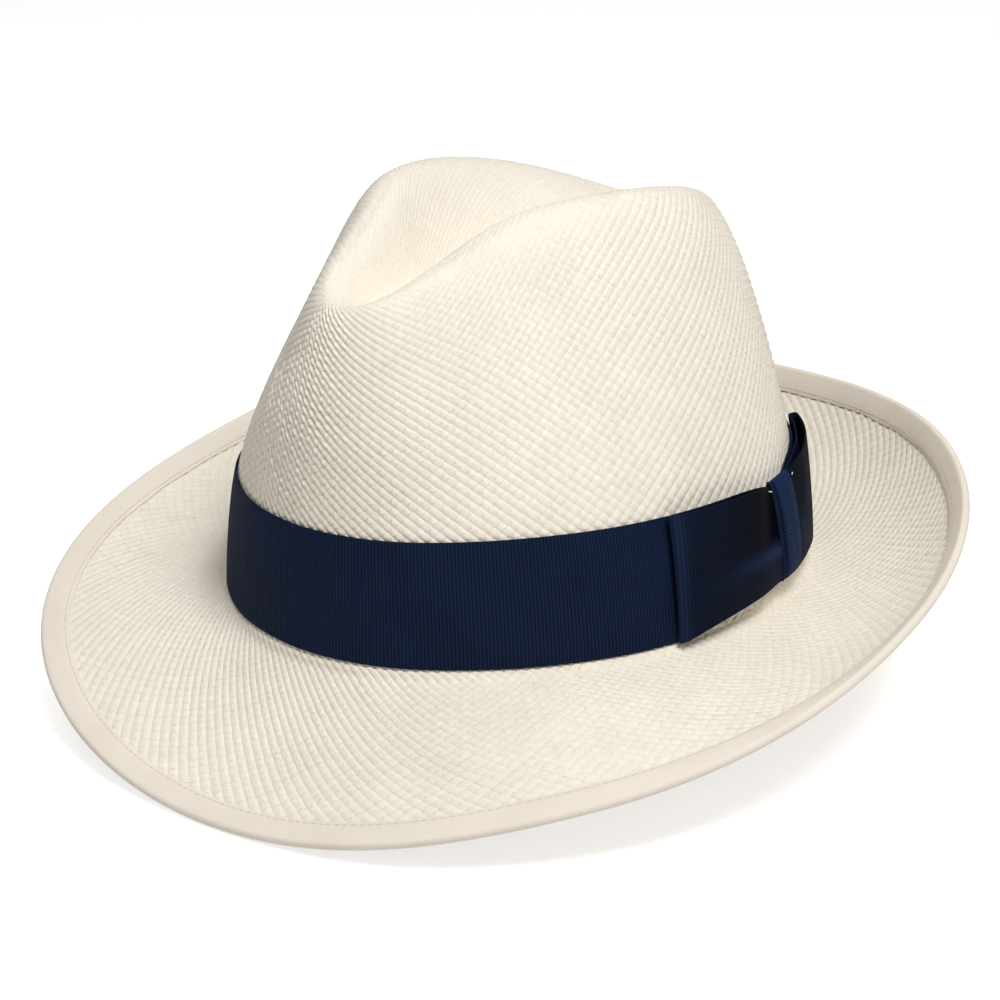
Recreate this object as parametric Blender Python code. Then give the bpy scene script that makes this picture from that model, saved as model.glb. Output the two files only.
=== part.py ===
# A woven straw fedora with a bound brim, a ribbon band, a flat side bow and an inner sweatband.
# The origin is the centre of the head opening, +Z runs up the crown and the front faces -Y.

import bmesh
import bpy
import numpy as np

MM = 0.001

# Head opening, measured inside the sweatband
HEAD_FRONT_REACH = 100.6 * MM
HEAD_BACK_REACH = 95.6 * MM
HEAD_HALF_WIDTH = 85.6 * MM

# Thickness of each layer and the gap kept between layers that lie on each other
STRAW_THICKNESS = 1.2 * MM
SWEATBAND_THICKNESS = 0.9 * MM
RIBBON_THICKNESS = 0.6 * MM
TAPE_THICKNESS = 0.5 * MM
LAYER_GAP = 0.3 * MM

# Crest of the crown: the rounded line where the wall turns over into the centre dent
CREST_NOSE_REACH = 89.5 * MM
CREST_BACK_REACH = 77.0 * MM
CREST_HALF_WIDTH = 40.0 * MM
RIDGE_HEIGHT = 130.0 * MM
NOSE_HEIGHT = 102.0 * MM
NOSE_SPREAD = 47.5
BACK_HEIGHT = 105.0 * MM
BACK_SPREAD = 62.0

# Wall of the crown: the share of its lean that is straight, and how squarely it rounds over
SIDE_LEAN = 0.6
NOSE_LEAN = 0.36
LEAN_SPREAD = 61.0
LEAN_POWER = 1.3
ROUND_POWER = 2.5

# Two front pinches, each side of the nose, slanting towards the sides lower down
PINCH_DEPTH = 16.0 * MM
PINCH_ANGLE_HIGH = 44.5
PINCH_ANGLE_LOW = 54.0
PINCH_SPREAD = 29.5
PINCH_FOOT = 0.25

# Crease along the floor of the dent
CREASE_HEIGHT = 97.0 * MM
CREASE_BACK_RISE = 6.0 * MM
CREASE_FRONT = -72.0 * MM
CREASE_BACK = 34.0 * MM
CREASE_RISE_POWER = 4
DIP_POWER = 1.1

# Brim: width along the straw, and its downward slope in degrees at the wall and at the edge,
# every 45 degrees from the front round by the wearer's left
BRIM_WIDTH = 62.3 * MM
BREAK_RADIUS = 2.0 * MM
BRIM_SLOPE_AT_WALL = (56.0, 10.0, 21.0, 2.0, 4.0, -2.0, 16.0, 18.0)
BRIM_SLOPE_AT_EDGE = (12.0, 19.0, -47.0, -68.0, -70.0, -71.0, -38.0, 2.0)

# Binding tape folded over the brim's edge, and its sewing thread
BINDING_WIDTH = 8.0 * MM
FOLD_CORNER_INSIDE = 0.3
FOLD_CORNER_OUTSIDE = 0.2
BINDING_SEAM_INSET = 1.3 * MM
THREAD_RADIUS = 0.2 * MM

# Ribbon band and bow
RIBBON_WIDTH = 38.0 * MM
BOW_ANGLE = 102.5
KNOT_WIDTH = 16.0 * MM
FRONT_LOOP_LENGTH = 54.0 * MM
REAR_LOOP_LENGTH = 60.0 * MM
FRONT_LOOP_PUFF = 1.6 * MM
REAR_LOOP_PUFF = 0.9 * MM
PUFF_POWER = 0.8
LOOP_GATHER = 1.0 * MM
PLEAT_DEPTH = 1.1 * MM
PLEAT_LENGTH = 12.0 * MM
PLEAT_START = 6.0 * MM
TACK_HEIGHT = 2.5 * MM

# Sweatband and its trim
SWEATBAND_WIDTH = 32.0 * MM
REED_RADIUS = 0.8 * MM
SWEATBAND_SEAM_RISE = 2.5 * MM
SEAM_COVER_WIDTH = 14.0 * MM
SEAM_COVER_INSET = 5.0 * MM

# Resolution of the rings and of the rows across them
RING_STEPS = 60
RIBBON_ROWS = 3
WALL_ROWS = 7
DENT_ROWS = 5
THREAD_SIDES = 4
LOOP_STEPS = 9
LOOP_ROWS = 4
FOLD_STEPS = 4
KNOT_STEPS = 4
SEAM_COVER_STEPS = 6
BRIM_ROW_SHARES = (1.0, 0.76, 0.5, 0.28, 0.12, 0.05)
BRIM_BEND_STEPS = 16

# Short steps that a slope is read over, how close points are one, and the sharpest smooth edge
PROBE_STEP = 0.1 * MM
PROBE_TURN = 1e-4
MERGE_DISTANCE = 0.001 * MM
SMOOTH_UP_TO = 50.0

# Outer size of the straw at the foot of the crown
STRAW_BUILD_UP = SWEATBAND_THICKNESS + LAYER_GAP + STRAW_THICKNESS
BASE_FRONT_REACH = HEAD_FRONT_REACH + STRAW_BUILD_UP
BASE_BACK_REACH = HEAD_BACK_REACH + STRAW_BUILD_UP
BASE_HALF_WIDTH = HEAD_HALF_WIDTH + STRAW_BUILD_UP


def bell(t, centre, spread):
    """1 at the centre angle, falling away over the spread (degrees)."""
    away = np.angle(np.exp(1j * (t - np.radians(centre))))
    return np.exp(-((away / np.radians(spread)) ** 2))


def around(t, values):
    """Smooth closed curve through evenly spaced values, read at angle t."""
    values = np.asarray(values)
    count = len(values)
    place = np.mod(t, 2 * np.pi) * count / (2 * np.pi)
    index = np.floor(place).astype(int)
    f = place - index
    before, here, after, beyond = (values[(index + step) % count] for step in (-1, 0, 1, 2))
    slope_here = (after - before) / 2
    slope_after = (beyond - here) / 2
    rise = after - here
    return here + f * (slope_here + f * (3 * rise - 2 * slope_here - slope_after
                                         + f * (slope_here + slope_after - 2 * rise)))


def crest_height(t):
    nose_drop = (RIDGE_HEIGHT - NOSE_HEIGHT) * bell(t, 0, NOSE_SPREAD)
    back_drop = (RIDGE_HEIGHT - BACK_HEIGHT) * bell(t, 180, BACK_SPREAD)
    return RIDGE_HEIGHT - nose_drop - back_drop


def pinch(t, height_share):
    """Inward push of the two front pinches at this share of the wall's height."""
    centre = PINCH_ANGLE_LOW + (PINCH_ANGLE_HIGH - PINCH_ANGLE_LOW) * height_share
    both = bell(t, centre, PINCH_SPREAD) + bell(t, -centre, PINCH_SPREAD)
    rise = np.clip((height_share - PINCH_FOOT) / (1 - PINCH_FOOT), 0, 1)
    return PINCH_DEPTH * both * rise * rise * (3 - 2 * rise)


def base_reach(t):
    """Half length of the crown's foot: its front half or its back half."""
    return np.where(np.cos(t) > 0, BASE_FRONT_REACH, BASE_BACK_REACH)


def wall(t, height_share):
    """Outer face of the crown's wall, from the head opening (0) up to the crest (1)."""
    t, share = np.broadcast_arrays(t, height_share)
    swing = np.arcsin(np.clip(share, 0, 1) ** (ROUND_POWER / 2))
    lean = SIDE_LEAN + (NOSE_LEAN - SIDE_LEAN) * bell(t, 0, LEAN_SPREAD)
    rounding = 1 - np.cos(swing) ** (2 / ROUND_POWER)
    inward = lean * np.clip(share, 0, 1) ** LEAN_POWER + (1 - lean) * rounding
    reach = np.where(np.cos(t) > 0, CREST_NOSE_REACH, CREST_BACK_REACH)
    x = BASE_HALF_WIDTH + (CREST_HALF_WIDTH - BASE_HALF_WIDTH) * inward
    y = base_reach(t) + (reach - base_reach(t)) * inward
    flat = np.stack([x * np.sin(t), -y * np.cos(t)], -1)
    radius = np.linalg.norm(flat, axis=-1)
    flat = flat * (1 - pinch(t, share) / radius)[..., None]
    return np.concatenate([flat, (share * crest_height(t))[..., None]], -1)


def dent(t, u):
    """Top of the crown, from the crest (0) down into the centre crease (1)."""
    t, u = np.broadcast_arrays(t, u)
    crest = wall(t, np.ones_like(t))
    middle = (CREASE_BACK + CREASE_FRONT) / 2
    y = middle - (CREASE_BACK - CREASE_FRONT) / 2 * np.cos(t)
    along = (y - CREASE_FRONT) / (CREASE_BACK - CREASE_FRONT)
    crease = np.stack([0 * t, y, CREASE_HEIGHT + CREASE_BACK_RISE * along**CREASE_RISE_POWER], -1)
    dip = 0.5 - 0.5 * np.cos(np.pi * u**DIP_POWER)
    return crest + (crease - crest) * np.stack([u, u, dip], -1)


def break_height(t):
    """Height where the wall starts to turn out into the brim."""
    return BREAK_RADIUS * (1 - np.sin(np.radians(around(t, BRIM_SLOPE_AT_WALL))))


def brim(t, s):
    """Top face of the brim, a distance s along it from the wall."""
    t, s = np.broadcast_arrays(t, s)
    slope = np.radians(around(t, BRIM_SLOPE_AT_WALL))
    bend = (np.radians(around(t, BRIM_SLOPE_AT_EDGE)) - slope) / BRIM_WIDTH
    steps = (np.arange(BRIM_BEND_STEPS) + 0.5) / BRIM_BEND_STEPS
    slopes = slope[..., None] + bend[..., None] * s[..., None] * steps
    turned = BREAK_RADIUS * (1 - np.exp(-s / BREAK_RADIUS))
    reach = np.cos(slopes).mean(-1) * s - turned * np.cos(slope)
    drop = np.sin(slopes).mean(-1) * s + turned * (1 - np.sin(slope))
    foot = wall(t, break_height(t) / crest_height(t))
    outward = np.stack([base_reach(t) * np.sin(t), -BASE_HALF_WIDTH * np.cos(t)], -1)
    outward /= np.linalg.norm(outward, axis=-1)[..., None]
    point = foot.copy()
    point[..., :2] += outward * reach[..., None]
    point[..., 2] -= drop
    return point


def lifted(surface, t, v, distance):
    """Point of a surface moved along its normal, which is read from two short steps."""
    along = surface(t + PROBE_TURN, v) - surface(t - PROBE_TURN, v)
    up = surface(t, v + PROBE_STEP) - surface(t, v - PROBE_STEP)
    normal = np.cross(along, up)
    normal /= np.linalg.norm(normal, axis=-1)[..., None]
    return surface(t, v) + normal * np.asarray(distance)[..., None]


def on_wall(t, z, out):
    """Point at height z above the origin, a distance out from the wall's outer face."""
    t, z, out = np.broadcast_arrays(t, z, out)

    def at_height(angle, height):
        return wall(angle, height / crest_height(angle))

    return lifted(at_height, t, z, out)


def on_brim(t, s, up):
    """Point a distance s along the brim and a distance up from its top face."""
    t, s, up = np.broadcast_arrays(t, s, up)
    return lifted(brim, t, s, -up)


def angles(start, end, count):
    return np.linspace(np.radians(start), np.radians(end), count)


RING = angles(0, 360, RING_STEPS + 1)[:-1]


def material(name, color, roughness):
    made = bpy.data.materials.new(name)
    made.use_nodes = True
    shader = made.node_tree.nodes["Principled BSDF"]
    shader.inputs["Base Color"].default_value = (*color, 1)
    shader.inputs["Roughness"].default_value = roughness
    shader.inputs["Metallic"].default_value = 0.0
    return made


def add_piece(name, points, faces, finish, parent):
    """One closed solid, with shared points merged and its faces turned outwards."""
    mesh = bpy.data.meshes.new(name)
    mesh.from_pydata([tuple(p) for p in points], [], faces)
    work = bmesh.new()
    work.from_mesh(mesh)
    bmesh.ops.remove_doubles(work, verts=work.verts, dist=MERGE_DISTANCE)
    bmesh.ops.recalc_face_normals(work, faces=work.faces)
    work.to_mesh(mesh)
    work.free()
    mesh.shade_smooth()
    mesh.set_sharp_from_angle(angle=np.radians(SMOOTH_UP_TO))
    mesh.materials.append(finish)
    piece = bpy.data.objects.new(name, mesh)
    bpy.context.collection.objects.link(piece)
    piece.parent = parent
    return piece


def sheet_faces(rows, columns, closed, first=0):
    """Quads over a grid of points, joined round the columns where it is closed."""
    last = columns if closed else columns - 1
    faces = []
    for r in range(rows - 1):
        for c in range(last):
            d = (c + 1) % columns
            faces.append(tuple(first + k for k in (r * columns + c, r * columns + d,
                                                   (r + 1) * columns + d, (r + 1) * columns + c)))
    return faces


def add_layer(name, low, high, closed, finish, parent, open_top=True):
    """Solid between two matching grids of points, with walls along its free edges."""
    rows, columns = low.shape[:2]
    count = rows * columns
    faces = [face[::-1] for face in sheet_faces(rows, columns, closed)]
    faces += sheet_faces(rows, columns, closed, count)
    rims = [0, rows - 1] if open_top else [0]
    last = columns if closed else columns - 1
    for r in rims:
        for c in range(last):
            a = r * columns + c
            b = r * columns + (c + 1) % columns
            faces.append((a, b, count + b, count + a))
    if not closed:
        for c in (0, columns - 1):
            for r in range(rows - 1):
                a = r * columns + c
                b = a + columns
                faces.append((a, b, count + b, count + a))
    points = np.concatenate([low.reshape(-1, 3), high.reshape(-1, 3)])
    return add_piece(name, points, faces, finish, parent)


def add_thread(name, path, radius, closed, finish, parent):
    """Round tube along a path of points, capped where it is open."""
    path = np.asarray(path)
    if closed:
        along = np.roll(path, -1, 0) - np.roll(path, 1, 0)
    else:
        along = np.gradient(path, axis=0)
    along /= np.linalg.norm(along, axis=1)[:, None]
    side = np.cross(along, (0.0, 0.0, 1.0))
    side /= np.linalg.norm(side, axis=1)[:, None]
    over = np.cross(side, along)
    turn = RING_OF_THREAD[None, :, None]
    tube = path[:, None] + radius * (np.cos(turn) * side[:, None] + np.sin(turn) * over[:, None])
    rows = len(path)
    tube_faces = sheet_faces(rows, THREAD_SIDES, True)
    if closed:
        for c in range(THREAD_SIDES):
            d = (c + 1) % THREAD_SIDES
            top = (rows - 1) * THREAD_SIDES
            tube_faces.append((top + c, top + d, d, c))
    else:
        tube_faces.append(tuple(range(THREAD_SIDES)))
        tube_faces.append(tuple((rows - 1) * THREAD_SIDES + c for c in range(THREAD_SIDES)))
    return add_piece(name, tube.reshape(-1, 3), tube_faces, finish, parent)


RING_OF_THREAD = angles(0, 360, THREAD_SIDES + 1)[:-1]


# Heights of the ribbon, which starts just above the turn into the brim
def ribbon_foot(t):
    return break_height(t) + LAYER_GAP


def ribbon_height(t, share):
    return ribbon_foot(t) + RIBBON_WIDTH * share


def straw_rows():
    """Rows of points over the straw's outer face, from the brim's edge to the dent's crease."""
    flat = BRIM_WIDTH - BINDING_WIDTH
    distances = [BRIM_WIDTH, BRIM_WIDTH - BINDING_WIDTH / 2]
    distances += [flat * share for share in BRIM_ROW_SHARES]
    rows = [(brim, np.full_like(RING, s)) for s in distances]
    height = crest_height(RING)
    rows.append((wall, break_height(RING) / height))
    for row in range(RIBBON_ROWS + 1):
        rows.append((wall, ribbon_height(RING, row / RIBBON_ROWS) / height))
    low = np.arcsin((ribbon_height(RING, 1.0) / height) ** (ROUND_POWER / 2))
    for row in range(1, WALL_ROWS + 1):
        swing = low + (np.pi / 2 - low) * row / WALL_ROWS
        rows.append((wall, np.sin(swing) ** (2 / ROUND_POWER)))
    for row in range(1, DENT_ROWS + 1):
        rows.append((dent, np.full_like(RING, row / DENT_ROWS)))
    return rows


def grid_normals(grid):
    """Normals of a grid that closes round its columns; along the crease, its last row, straight up."""
    along = np.roll(grid, -1, 1) - np.roll(grid, 1, 1)
    up = np.gradient(grid, axis=0)
    normals = np.cross(along, up)
    normals[-1] = (0.0, 0.0, 1.0)
    return normals / np.linalg.norm(normals, axis=-1)[..., None]


def make_straw_body(finish, parent):
    outer = np.array([surface(RING, v) for surface, v in straw_rows()])
    inner = outer - grid_normals(outer) * STRAW_THICKNESS
    add_layer("straw_body", inner, outer, True, finish, parent, open_top=False)


def make_brim_binding(tape_finish, thread_finish, parent):
    """Tape folded over the edge, and one line of sewing on each face."""
    g = LAYER_GAP
    p = TAPE_THICKNESS
    deep = STRAW_THICKNESS
    w = BRIM_WIDTH
    middle = w - BINDING_WIDTH / 2
    start = w - BINDING_WIDTH
    inside = deep * FOLD_CORNER_INSIDE
    outside = deep * FOLD_CORNER_OUTSIDE
    inner = [(start, g), (middle, g), (w, g), (w + g, -inside),
             (w + g, inside - deep), (w, -deep - g), (middle, -deep - g), (start, -deep - g)]
    outer = [(start, g + p), (middle, g + p), (w, g + p), (w + g + p, -outside),
             (w + g + p, outside - deep), (w, -deep - g - p),
             (middle, -deep - g - p), (start, -deep - g - p)]
    low = np.array([on_brim(RING, s, up) for s, up in inner])
    high = np.array([on_brim(RING, s, up) for s, up in outer])
    add_layer("brim_binding", low, high, True, tape_finish, parent)
    seam = start + BINDING_SEAM_INSET
    clear = g + p + g + THREAD_RADIUS
    add_thread("binding_thread_top", on_brim(RING, seam, clear), THREAD_RADIUS, True, thread_finish, parent)
    add_thread("binding_thread_under", on_brim(RING, seam, -deep - clear), THREAD_RADIUS, True,
               thread_finish, parent)


# Layers of the bow, as distances out from the wall of the crown
BAND_OUT = LAYER_GAP + RIBBON_THICKNESS
KNOT_BACK = BAND_OUT + LAYER_GAP
LOOP_BACK = KNOT_BACK + RIBBON_THICKNESS + LAYER_GAP
LOOP_FRONT = LOOP_BACK + RIBBON_THICKNESS + LAYER_GAP
KNOT_FRONT = LOOP_FRONT + RIBBON_THICKNESS + LAYER_GAP


def bow_turn():
    """Angle that one metre along the ribbon takes up at the bow."""
    turn = np.radians(BOW_ANGLE)
    middle = ribbon_height(turn, 0.5)
    step = on_wall(turn + PROBE_TURN, middle, BAND_OUT) - on_wall(turn, middle, BAND_OUT)
    return PROBE_TURN / np.linalg.norm(step)


def bow_point(along, share, out):
    """Point of the bow: along the ribbon from the knot, up its width and out from the wall."""
    t = np.radians(BOW_ANGLE) + along * bow_turn()
    return on_wall(t, ribbon_height(t, share), out)


def make_hat_band(finish, parent):
    """Ribbon round the crown, its two ends meeting under the bow's knot."""
    half_gap = np.degrees(LAYER_GAP / 2 * bow_turn())
    start = BOW_ANGLE + half_gap
    end = BOW_ANGLE + 360 - half_gap
    t = angles(start, end, RING_STEPS + 1)
    shares = np.linspace(0, 1, RIBBON_ROWS + 1)[:, None]
    low = on_wall(t, ribbon_height(t, shares), LAYER_GAP)
    high = on_wall(t, ribbon_height(t, shares), BAND_OUT)
    add_layer("hat_band", low, high, False, finish, parent)


def loop_front(along, share, length, puff):
    """How far out the front layer of a loop stands: flat at the knot, puffed, with a pleat."""
    free = np.clip((along - KNOT_WIDTH / 2) / (length - KNOT_WIDTH / 2), 0, 1)
    swell = puff * np.sin(np.pi * free) ** PUFF_POWER
    pleat = PLEAT_DEPTH * (1 - np.cos(2 * np.pi * share)) / 2 * np.cos(np.pi * share)
    past_knot = np.clip(along - KNOT_WIDTH / 2, 0, None)
    fade = np.exp(-past_knot / PLEAT_LENGTH) * np.clip(past_knot / PLEAT_START, 0, 1)
    return LOOP_FRONT + swell - pleat * fade


def make_loop(name, length, puff, side, finish, parent):
    """Ribbon folded back on itself: from the knot along the band, round the fold and back."""
    back_along = np.concatenate([[LAYER_GAP / 2], np.linspace(KNOT_WIDTH / 2, length, LOOP_STEPS)])
    fold_turn = np.linspace(0, np.pi, FOLD_STEPS + 1)[1:-1]
    shares = np.linspace(0, 1, LOOP_ROWS + 1)[None, :]
    fold_radius = (LOOP_FRONT - LOOP_BACK) / 2
    along = np.concatenate([back_along, length + fold_radius * np.sin(fold_turn), back_along[::-1]])
    rise = np.concatenate([0 * back_along, (1 - np.cos(fold_turn)) / 2, 0 * back_along + 1])[:, None]
    along_grid = np.broadcast_to(along[:, None], (len(along), LOOP_ROWS + 1))
    past_knot = np.clip(along_grid - KNOT_WIDTH / 2, 0, None)
    gather = LOOP_GATHER / RIBBON_WIDTH * np.exp(-past_knot / PLEAT_LENGTH)
    height = gather + shares * (1 - 2 * gather)
    middle_back = LOOP_BACK + RIBBON_THICKNESS / 2
    middle_front = loop_front(along_grid, height, length, puff) + RIBBON_THICKNESS / 2
    out = middle_back + (middle_front - middle_back) * rise
    step_along = np.gradient(along_grid, axis=0)
    step_out = np.gradient(out, axis=0)
    size = np.hypot(step_along, step_out)
    half = RIBBON_THICKNESS / 2
    low = bow_point(side * (along_grid + half * step_out / size), height, out - half * step_along / size)
    high = bow_point(side * (along_grid - half * step_out / size), height, out + half * step_along / size)
    add_layer(name, low, high, False, finish, parent)


def make_knot(finish, parent):
    """Ribbon wrapped once round the two loops where they meet."""
    width = np.linspace(-KNOT_WIDTH / 2, KNOT_WIDTH / 2, KNOT_STEPS + 1)
    edge = (LOOP_GATHER - LAYER_GAP) / RIBBON_WIDTH
    wrap = RIBBON_THICKNESS / RIBBON_WIDTH
    inner_back = KNOT_BACK + RIBBON_THICKNESS
    heights = np.linspace(edge, 1 - edge, KNOT_STEPS + 1)
    outer_heights = np.linspace(edge - wrap, 1 - edge + wrap, KNOT_STEPS + 1)
    inner = [(inner_back, h) for h in heights] + [(KNOT_FRONT, h) for h in heights[::-1]]
    outer = [(KNOT_BACK, h) for h in outer_heights]
    outer += [(KNOT_FRONT + RIBBON_THICKNESS, h) for h in outer_heights[::-1]]
    low = np.array([[bow_point(a, h, out) for out, h in inner] for a in width])
    high = np.array([[bow_point(a, h, out) for out, h in outer] for a in width])
    add_layer("bow_knot", low, high, True, finish, parent)


def make_tack(name, along, front, finish, parent):
    """Stitch of thread from the straw, over the ribbon's top edge, onto the loop's face."""
    above = TACK_HEIGHT / RIBBON_WIDTH
    clear = LAYER_GAP + THREAD_RADIUS
    edge = 1 + clear / RIBBON_WIDTH
    stops = [(1 + above, clear), (edge + above / 3, BAND_OUT), (edge, (BAND_OUT + front) / 2),
             (edge - above / 8, front + clear), (1 - above / 2, front + clear), (1 - above, front + clear)]
    path = [bow_point(along, share, out) for share, out in stops]
    add_thread(name, path, THREAD_RADIUS, False, finish, parent)


def make_sweatband(leather, reed, thread, cover, parent):
    """Leather band with its ends meeting at the back, the reed under it and the trim on it."""
    outside = -(STRAW_THICKNESS + LAYER_GAP)
    inside = outside - SWEATBAND_THICKNESS
    reed_height = break_height(RING) + LAYER_GAP + REED_RADIUS
    reed_path = on_wall(RING, reed_height, outside - REED_RADIUS)
    add_thread("sweatband_reed", reed_path, REED_RADIUS, True, reed, parent)

    def height(t, rise):
        return break_height(t) + 2 * LAYER_GAP + 2 * REED_RADIUS + rise

    half_gap = LAYER_GAP / 2 / BASE_HALF_WIDTH
    t = np.concatenate([[half_gap - np.pi], RING[1:] - np.pi, [np.pi - half_gap]])
    rises = np.linspace(0, SWEATBAND_WIDTH, RIBBON_ROWS + 1)[:, None]
    low = on_wall(t, height(t, rises), inside)
    high = on_wall(t, height(t, rises), outside)
    add_layer("sweatband", low, high, False, leather, parent)

    seam_out = inside - LAYER_GAP - THREAD_RADIUS
    seam_path = on_wall(RING, height(RING, SWEATBAND_SEAM_RISE), seam_out)
    add_thread("sweatband_thread", seam_path, THREAD_RADIUS, True, thread, parent)

    half_cover = SEAM_COVER_WIDTH / 2 / BASE_HALF_WIDTH
    t = np.pi + np.linspace(-half_cover, half_cover, SEAM_COVER_STEPS + 1)
    rises = np.linspace(SEAM_COVER_INSET, SWEATBAND_WIDTH - SEAM_COVER_INSET, RIBBON_ROWS + 1)[:, None]
    face = inside - LAYER_GAP
    low = on_wall(t, height(t, rises), face - TAPE_THICKNESS)
    high = on_wall(t, height(t, rises), face)
    add_layer("sweatband_seam_cover", low, high, False, cover, parent)


def main():
    for old in list(bpy.data.objects):
        bpy.data.objects.remove(old)
    hat = bpy.data.objects.new("hat", None)
    bpy.context.collection.objects.link(hat)

    straw = material("woven straw", (0.78, 0.70, 0.58), 0.7)
    tape = material("cotton binding tape", (0.74, 0.66, 0.57), 0.75)
    ribbon = material("navy grosgrain ribbon", (0.008, 0.016, 0.042), 0.55)
    thread = material("cotton thread", (0.66, 0.58, 0.48), 0.7)
    tack = material("white tacking thread", (0.8, 0.78, 0.74), 0.6)
    leather = material("tan sweatband leather", (0.36, 0.22, 0.12), 0.5)
    reed = material("clear reed", (0.6, 0.56, 0.48), 0.4)

    make_straw_body(straw, hat)
    make_brim_binding(tape, thread, hat)
    make_hat_band(ribbon, hat)
    make_loop("bow_front_loop", FRONT_LOOP_LENGTH, FRONT_LOOP_PUFF, -1, ribbon, hat)
    make_loop("bow_rear_loop", REAR_LOOP_LENGTH, REAR_LOOP_PUFF, 1, ribbon, hat)
    make_knot(ribbon, hat)
    beside_knot = KNOT_WIDTH / 2 + LAYER_GAP + 2 * THREAD_RADIUS
    for name, side, length, puff in (("front_loop_tack", -1, FRONT_LOOP_LENGTH, FRONT_LOOP_PUFF),
                                     ("rear_loop_tack", 1, REAR_LOOP_LENGTH, REAR_LOOP_PUFF)):
        front = loop_front(beside_knot, 1.0, length, puff) + RIBBON_THICKNESS
        make_tack(name, side * beside_knot, front, tack, hat)
    make_sweatband(leather, reed, thread, tape, hat)


main()
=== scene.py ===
import bpy
import numpy as np
from mathutils import Matrix, Vector


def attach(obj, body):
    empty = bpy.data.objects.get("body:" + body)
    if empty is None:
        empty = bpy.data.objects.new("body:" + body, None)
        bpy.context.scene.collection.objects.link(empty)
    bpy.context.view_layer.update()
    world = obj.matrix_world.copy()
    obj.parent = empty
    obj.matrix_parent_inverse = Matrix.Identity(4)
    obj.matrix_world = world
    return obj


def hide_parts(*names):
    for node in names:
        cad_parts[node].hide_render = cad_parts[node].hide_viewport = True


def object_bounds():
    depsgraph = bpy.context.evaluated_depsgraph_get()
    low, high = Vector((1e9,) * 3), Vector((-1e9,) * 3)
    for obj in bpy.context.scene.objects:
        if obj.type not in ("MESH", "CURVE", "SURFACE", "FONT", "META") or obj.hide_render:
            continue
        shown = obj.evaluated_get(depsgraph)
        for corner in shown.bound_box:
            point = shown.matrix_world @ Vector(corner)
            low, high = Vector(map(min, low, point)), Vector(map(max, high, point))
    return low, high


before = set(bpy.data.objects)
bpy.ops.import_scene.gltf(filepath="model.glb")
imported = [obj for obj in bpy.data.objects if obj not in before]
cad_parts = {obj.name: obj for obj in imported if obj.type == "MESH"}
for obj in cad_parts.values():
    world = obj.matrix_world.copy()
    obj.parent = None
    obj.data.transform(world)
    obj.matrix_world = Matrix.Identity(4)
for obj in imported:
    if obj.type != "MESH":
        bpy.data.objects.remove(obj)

cadBox = [list(corner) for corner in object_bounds()]
mm = 0.001  # the hat's sizes are in millimetres; meshes and flat sizes are in metres
turn = 2 * np.pi
print("frame loaded, CAD box", cadBox)

# the hat's own form, the same numbers as in its source
layers = dict(straw=1.2, leather=0.9, ribbon=0.6, tape=0.5, gap=0.3)
head = dict(front=100.6, back=95.6, side=85.6)
crown = dict(noseReach=89.5, backReach=77.0, halfWidth=40.0, ridge=130.0, nose=102.0, noseSpread=47.5,
             back=105.0, backSpread=62.0, sideLean=0.6, noseLean=0.36, leanSpread=61.0, leanPower=1.3,
             roundPower=2.5, pinchDepth=16.0, pinchHigh=44.5, pinchLow=54.0, pinchSpread=29.5,
             pinchFoot=0.25)
crease = dict(height=97.0, backRise=6.0, front=-72.0, back=34.0, risePower=4, dipPower=1.1)
brim = dict(width=62.3, breakRadius=2.0, bendSteps=16,
            slopeAtWall=(56.0, 10.0, 21.0, 2.0, 4.0, -2.0, 16.0, 18.0),
            slopeAtEdge=(12.0, 19.0, -47.0, -68.0, -70.0, -71.0, -38.0, 2.0))
ribbon = dict(width=38.0, bowAngle=102.5)

buildUp = layers["leather"] + layers["gap"] + layers["straw"]
baseFront = head["front"] + buildUp
baseBack = head["back"] + buildUp
baseSide = head["side"] + buildUp


def eased(x):
    # cubic ease x * x * (3 - 2x) from 0 to 1, level on both sides
    x = np.clip(x, 0, 1)
    return x * x * (3 - 2 * x)


def wrapped(t):
    # the same angle between minus and plus half a turn
    return np.angle(np.exp(1j * t))


def unit(v):
    # each vector over its own length
    return v / np.maximum(np.linalg.norm(v, axis=-1, keepdims=True), 1e-12)


def hump(x, at, spread):
    # Gauss curve, 1 at a place and falling away over the spread
    return np.exp(-((x - at) / spread) ** 2)


def bell(t, centre, spread):
    # the same round a circle, its centre and spread in degrees
    return hump(wrapped(t - np.radians(centre)), 0, np.radians(spread))


def around(t, values):
    # closed cubic curve through evenly spaced values, its slope at each taken from the two neighbours
    values = np.asarray(values)
    count = len(values)
    place = np.mod(t, turn) * count / turn
    index = np.floor(place).astype(int)
    f = place - index
    before, here, after, beyond = (values[(index + step) % count] for step in (-1, 0, 1, 2))
    slopeHere = (after - before) / 2
    slopeAfter = (beyond - here) / 2
    rise = after - here
    return here + f * (slopeHere + f * (3 * rise - 2 * slopeHere - slopeAfter
                                        + f * (slopeHere + slopeAfter - 2 * rise)))


def crestHeight(t):
    # ridge height less a bell at the nose and a wider one at the back
    return (crown["ridge"] - (crown["ridge"] - crown["nose"]) * bell(t, 0, crown["noseSpread"])
            - (crown["ridge"] - crown["back"]) * bell(t, 180, crown["backSpread"]))


def pinch(t, share):
    # two bells beside the nose that slide towards the sides lower down and fade out at the pinch's foot
    centre = crown["pinchLow"] + (crown["pinchHigh"] - crown["pinchLow"]) * share
    both = bell(t, centre, crown["pinchSpread"]) + bell(t, -centre, crown["pinchSpread"])
    return crown["pinchDepth"] * both * eased((share - crown["pinchFoot"]) / (1 - crown["pinchFoot"]))


def baseReach(t):
    # half length of the crown's foot, longer to the front than to the back
    return np.where(np.cos(t) > 0, baseFront, baseBack)


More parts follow.
